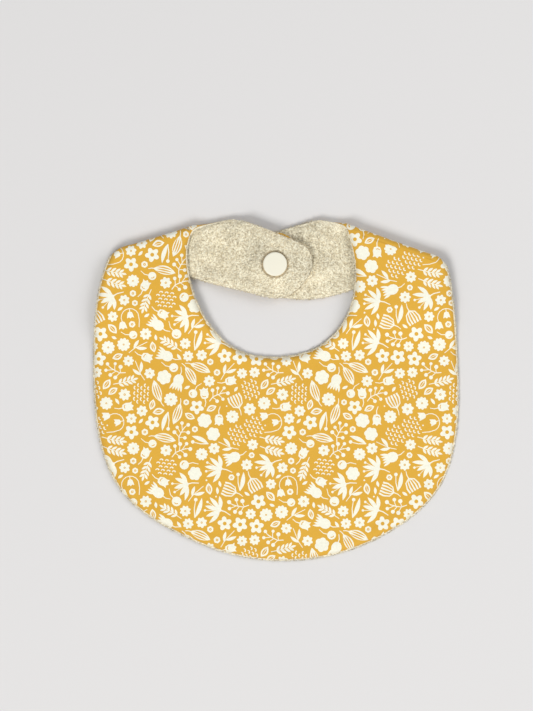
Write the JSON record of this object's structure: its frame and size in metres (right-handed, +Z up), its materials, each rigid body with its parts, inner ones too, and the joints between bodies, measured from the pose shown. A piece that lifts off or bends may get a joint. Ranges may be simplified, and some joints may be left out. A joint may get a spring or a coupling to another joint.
{
  "type": "cloth baby bib",
  "caption": "Small baby bib sewn from a printed cotton front and a towelling back, with two neck straps closed by a plastic snap.",
  "frame": {"origin": "middle of the bib's footprint, on the surface it lies on", "axes": "+Z up, out of the printed side; +Y from the hem towards the neck straps; +X towards the shoulder of the outer strap, the wearer's left when the bib hangs on the chest"},
  "size_m": [0.1898, 0.1773, 0.011],
  "materials": {
    "printed_cotton": "plain weave, mustard with a cream flower print",
    "towelling": "looped cotton pile, cream",
    "seam_thread": "matt thread",
    "snap_plastic": "semi-matt, ivory"
  },
  "bodies": {
    "bib": {"towelling_back": "towelling", "cotton_front": "printed_cotton", "edge_seam_thread": "seam_thread"},
    "outer_strap": {"outer_strap_towelling": "towelling", "outer_strap_cotton": "printed_cotton", "outer_strap_seam_thread": "seam_thread", "outer_fold_towelling": "towelling", "outer_fold_cotton": "printed_cotton", "snap_stud": "snap_plastic", "outer_snap_cap": "snap_plastic"},
    "inner_strap": {"inner_strap_towelling": "towelling", "inner_strap_cotton": "printed_cotton", "inner_strap_seam_thread": "seam_thread", "inner_bend_towelling": "towelling", "inner_bend_cotton": "printed_cotton", "snap_socket": "snap_plastic", "inner_snap_cap": "snap_plastic"}
  },
  "joints": [
    {"name": "outer_strap_fold", "type": "hinge", "parent": "bib", "child": "outer_strap", "pos_m": [0.03191, 0.08487, 0.0042], "axis": [0.9402, -0.3406, 0], "range_deg": [0, 178], "deforming": ["outer_fold_towelling", "outer_fold_cotton"]},
    {"name": "inner_strap_lift", "type": "hinge", "parent": "bib", "child": "inner_strap", "pos_m": [-0.0365, 0.071, 0.0025], "axis": [-0.1736, -0.9848, 0], "range_deg": [0, 90], "deforming": ["inner_bend_towelling", "inner_bend_cotton"]}
  ]
}
